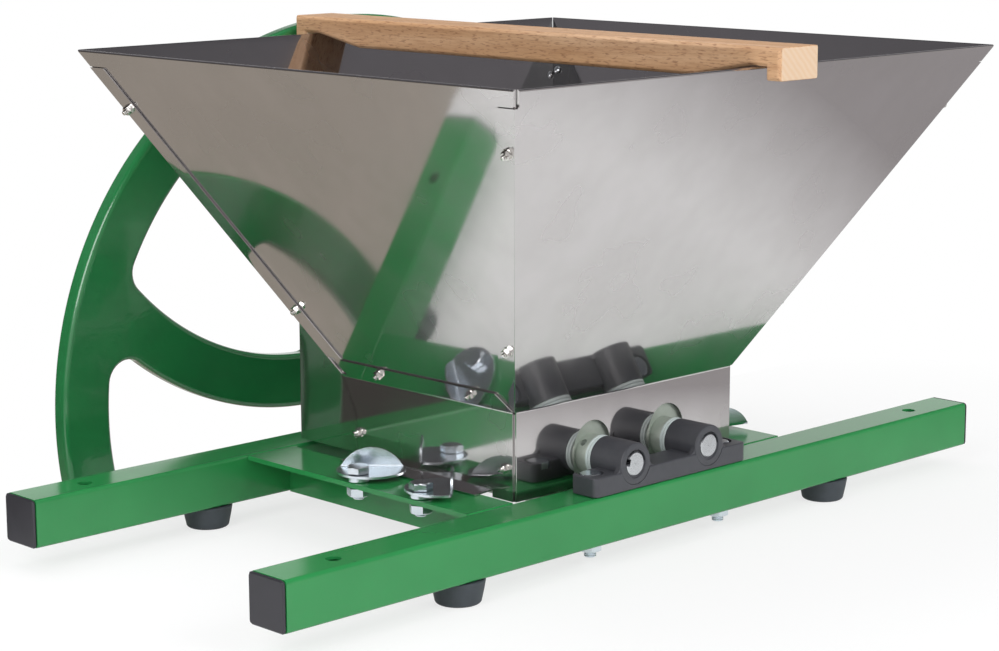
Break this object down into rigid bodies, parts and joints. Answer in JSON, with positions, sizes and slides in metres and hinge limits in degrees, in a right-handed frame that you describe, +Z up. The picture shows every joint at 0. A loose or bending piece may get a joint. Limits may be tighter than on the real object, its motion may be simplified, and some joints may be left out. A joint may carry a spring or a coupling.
{
  "type": "apple_scratter",
  "caption": "Hand-cranked apple scratter: stainless hopper over geared toothed rollers on a green tube frame, with a curved-spoke flywheel, turning clips and a loose beech bar.",
  "frame": {"origin": "the middle of the front rail's underside", "axes": "+X along the rails to the side with the drive shaft, +Y from the front rail to the flywheel, +Z up"},
  "size_m": [0.8234, 0.7187, 0.679],
  "materials": {
    "green_paint": "satin enamel",
    "dark_green_paint": "gloss enamel",
    "stainless": "mill finish sheet",
    "zinc": "bright zinc plate",
    "steel": "turned",
    "aluminium": "cast and machined",
    "black_plastic": "moulded",
    "rubber": "moulded",
    "nylon": "turned",
    "beech": "oiled"
  },
  "bodies": {
    "frame": {"rail_front": "green_paint", "bearing_block_front": "black_plastic", "rail_cap_front_left": "black_plastic", "foot_front_left": "rubber", "bearing_bolt_front_left": "zinc", "clip_bolt_front_left": "zinc", "rail_cap_front_right": "black_plastic", "foot_front_right": "rubber", "bearing_bolt_front_right": "zinc", "clip_bolt_front_right": "zinc", "thrust_washer_front_drive": "nylon", "thrust_washer_front_driven": "nylon", "rail_back": "green_paint", "bearing_block_back": "black_plastic", "rail_cap_back_left": "black_plastic", "foot_back_left": "rubber", "bearing_bolt_back_left": "zinc", "clip_bolt_back_left": "zinc", "rail_cap_back_right": "black_plastic", "foot_back_right": "rubber", "bearing_bolt_back_right": "zinc", "clip_bolt_back_right": "zinc", "thrust_washer_back_drive": "nylon", "thrust_washer_back_driven": "nylon", "cross_member_left": "green_paint", "hopper_left_panel": "stainless", "chamber_left_wall": "stainless", "side_deflector_left": "stainless", "cross_member_right": "green_paint", "hopper_right_panel": "stainless", "chamber_right_wall": "stainless", "side_deflector_right": "stainless", "hopper_front_panel": "stainless", "hopper_back_panel": "stainless", "gear_guard": "stainless"},
    "drive": {"drive_shaft": "steel", "drive_roller": "aluminium", "drive_gear": "steel", "flywheel": "dark_green_paint", "wheel_spacer": "zinc", "wheel_key": "steel", "wheel_end_bolt": "zinc", "crank_pin": "zinc"},
    "driven": {"driven_shaft": "steel", "driven_roller": "aluminium", "driven_gear": "steel"},
    "grip": {"crank_grip": "beech"},
    "bar": {"wooden_bar": "beech"},
    "clip_front_left_body": {"clip_front_left": "zinc"},
    "clip_front_right_body": {"clip_front_right": "zinc"},
    "clip_back_left_body": {"clip_back_left": "zinc"},
    "clip_back_right_body": {"clip_back_right": "zinc"}
  },
  "joints": [
    {"name": "drive_spin", "type": "hinge", "parent": "frame", "child": "drive", "pos_m": [0.047, 0, 0.061], "axis": [0, 1, 0], "continuous": true},
    {"name": "driven_spin", "type": "hinge", "parent": "frame", "child": "driven", "pos_m": [-0.043, 0, 0.061], "axis": [0, 1, 0], "continuous": true},
    {"name": "grip_spin", "type": "hinge", "parent": "drive", "child": "grip", "pos_m": [0.34342, 0.5, -0.04107], "axis": [0, 1, 0], "continuous": true},
    {"name": "bar_lift", "type": "slide", "parent": "frame", "child": "bar", "axis": [0, 0, 1], "range_m": [0, 0.05]},
    {"name": "clip_front_left_turn", "type": "hinge", "parent": "frame", "child": "clip_front_left_body", "pos_m": [-0.1845, 0.084, 0.0456], "axis": [0, 0, 1], "range_deg": [-180, 0]},
    {"name": "clip_front_right_turn", "type": "hinge", "parent": "frame", "child": "clip_front_right_body", "pos_m": [0.1745, 0.084, 0.0456], "axis": [0, 0, 1], "range_deg": [0, 180]},
    {"name": "clip_back_left_turn", "type": "hinge", "parent": "frame", "child": "clip_back_left_body", "pos_m": [-0.1845, 0.16, 0.0456], "axis": [0, 0, 1], "range_deg": [0, 180]},
    {"name": "clip_back_right_turn", "type": "hinge", "parent": "frame", "child": "clip_back_right_body", "pos_m": [0.1745, 0.16, 0.0456], "axis": [0, 0, 1], "range_deg": [-180, 0]}
  ],
  "couplings": [
    {"joint": "driven_spin", "follows": "drive_spin", "ratio": -1}
  ]
}
